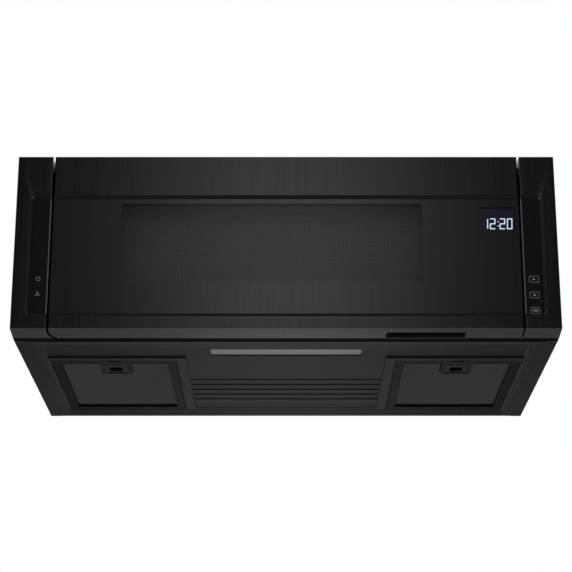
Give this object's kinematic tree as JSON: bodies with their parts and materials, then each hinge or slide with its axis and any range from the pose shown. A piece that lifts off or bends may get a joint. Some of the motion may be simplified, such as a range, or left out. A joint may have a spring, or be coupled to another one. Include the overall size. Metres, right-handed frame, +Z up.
{
  "type": "over-the-range microwave oven",
  "caption": "Low microwave oven with a cooktop hood below it: side-hinged glass door, touch-key columns, clock, grease filters with sprung latches, lamp, turntable, blower and exhaust damper.",
  "frame": {"origin": "centre of the flat rear face that hangs on the wall", "axes": "+X to the right as seen from the front, +Y into the wall, +Z up"},
  "size_m": [0.759, 0.455, 0.26],
  "materials": {
    "black_steel": "brushed black stainless steel",
    "black_paint": "satin black paint",
    "cavity_paint": "smooth grey enamel paint",
    "zinc_steel": "zinc-coated sheet steel",
    "black_glass": "polished dark tinted glass",
    "clear_glass": "clear pressed glass",
    "black_plastic": "fine-grained black plastic",
    "white_plastic": "moulded off-white plastic",
    "grey_plastic": "moulded grey plastic",
    "circuit_board": "lacquered circuit board",
    "filter_metal": "dark coated aluminium",
    "lamp_diffuser": "frosted lamp cover",
    "mica": "pressed mica sheet",
    "iron": "varnished steel laminations and windings",
    "aluminium": "bare aluminium",
    "black_rubber": "black rubber"
  },
  "bodies": {
    "chassis": {"outer_case": "black_paint", "rear_panel": "zinc_steel", "base_pan": "black_paint", "oven_cavity": "cavity_paint", "left_column": "black_steel", "right_column": "black_steel", "left_key_glass": "black_glass", "right_key_glass": "black_glass", "left_key_board": "circuit_board", "right_key_board": "circuit_board", "upper_hinge": "zinc_steel", "lower_hinge": "zinc_steel", "latch_board": "white_plastic", "upper_interlock_switch": "grey_plastic", "lower_interlock_switch": "grey_plastic", "turntable_motor": "zinc_steel", "component_shelf": "zinc_steel", "waveguide": "zinc_steel", "waveguide_cover": "mica", "magnetron": "aluminium", "transformer": "iron", "capacitor": "aluminium", "power_board": "circuit_board", "noise_filter": "circuit_board", "oven_lamp": "white_plastic", "cord_gland": "black_rubber", "cooling_fan_shroud": "grey_plastic", "cooling_fan_motor": "iron", "blower_housing": "zinc_steel", "blower_motor": "iron", "exhaust_frame": "zinc_steel", "lamp_lens": "lamp_diffuser", "lamp_board": "white_plastic"},
    "door": {"door_frame": "black_steel", "door_glass": "black_glass", "door_inner_panel": "black_paint", "door_screen": "black_paint", "door_choke_ring": "black_plastic", "handle_pocket": "black_plastic", "clock_board": "black_plastic", "upper_hinge_pin": "zinc_steel", "lower_hinge_pin": "zinc_steel"},
    "door_latch": {"latch_head": "white_plastic"},
    "turntable": {"turntable_tray": "clear_glass", "turntable_coupler": "white_plastic"},
    "roller_carrier": {"roller_ring": "white_plastic"},
    "roller_1": {"ring_roller_1": "white_plastic"},
    "roller_2": {"ring_roller_2": "white_plastic"},
    "roller_3": {"ring_roller_3": "white_plastic"},
    "cooling_fan": {"cooling_fan_rotor": "grey_plastic"},
    "blower_rotor": {"blower_shaft": "zinc_steel", "left_blower_wheel": "grey_plastic", "right_blower_wheel": "grey_plastic"},
    "damper": {"damper_flap": "aluminium"},
    "left_filter": {"left_filter_frame": "filter_metal", "left_filter_mesh": "filter_metal"},
    "left_latch": {"left_filter_latch": "black_plastic"},
    "right_filter": {"right_filter_frame": "filter_metal", "right_filter_mesh": "filter_metal"},
    "right_latch": {"right_filter_latch": "black_plastic"}
  },
  "joints": [
    {"name": "door_swing", "type": "hinge", "parent": "chassis", "child": "door", "pos_m": [-0.302, -0.442, 0], "axis": [0, 0, -1], "range_deg": [0, 95]},
    {"name": "door_latch_lift", "type": "slide", "parent": "door", "child": "door_latch", "axis": [0, 0, 1], "range_m": [0, 0.004], "stiffness_N_per_m": 200, "springref_m": -0.004},
    {"name": "turntable_spin", "type": "hinge", "parent": "chassis", "child": "turntable", "pos_m": [-0.02, -0.2455, -0.07], "axis": [0, 0, 1], "continuous": true},
    {"name": "roller_ring_spin", "type": "hinge", "parent": "chassis", "child": "roller_carrier", "pos_m": [-0.02, -0.2455, -0.0777], "axis": [0, 0, 1], "continuous": true},
    {"name": "roller_1_spin", "type": "hinge", "parent": "roller_carrier", "child": "roller_1", "pos_m": [0.08, -0.2455, -0.0777], "axis": [1, 0, 0], "continuous": true},
    {"name": "roller_2_spin", "type": "hinge", "parent": "roller_carrier", "child": "roller_2", "pos_m": [-0.07, -0.1589, -0.0777], "axis": [-0.5, 0.866, 0], "continuous": true},
    {"name": "roller_3_spin", "type": "hinge", "parent": "roller_carrier", "child": "roller_3", "pos_m": [-0.07, -0.3321, -0.0777], "axis": [-0.5, -0.866, 0], "continuous": true},
    {"name": "cooling_fan_spin", "type": "hinge", "parent": "chassis", "child": "cooling_fan", "pos_m": [0.305, -0.125, 0.022], "axis": [0, 1, 0], "continuous": true},
    {"name": "blower_spin", "type": "hinge", "parent": "chassis", "child": "blower_rotor", "pos_m": [0, -0.04, 0.052], "axis": [1, 0, 0], "continuous": true},
    {"name": "damper_swing", "type": "hinge", "parent": "chassis", "child": "damper", "pos_m": [0, -0.082, 0.1013], "axis": [1, 0, 0], "range_deg": [0, 75]},
    {"name": "left_filter_drop", "type": "hinge", "parent": "chassis", "child": "left_filter", "pos_m": [-0.2505, -0.04, -0.1285], "axis": [1, 0, 0], "range_deg": [0, 60]},
    {"name": "left_latch_slide", "type": "slide", "parent": "left_filter", "child": "left_latch", "axis": [0, 1, 0], "range_m": [0, 0.004], "stiffness_N_per_m": 200, "springref_m": -0.003},
    {"name": "right_filter_drop", "type": "hinge", "parent": "chassis", "child": "right_filter", "pos_m": [0.2505, -0.04, -0.1285], "axis": [1, 0, 0], "range_deg": [0, 60]},
    {"name": "right_latch_slide", "type": "slide", "parent": "right_filter", "child": "right_latch", "axis": [0, 1, 0], "range_m": [0, 0.004], "stiffness_N_per_m": 200, "springref_m": -0.003}
  ],
  "couplings": [
    {"joint": "roller_ring_spin", "follows": "turntable_spin", "ratio": 0.5},
    {"joint": "roller_1_spin", "follows": "turntable_spin", "ratio": -7.1429},
    {"joint": "roller_2_spin", "follows": "turntable_spin", "ratio": -7.1429},
    {"joint": "roller_3_spin", "follows": "turntable_spin", "ratio": -7.1429}
  ]
}
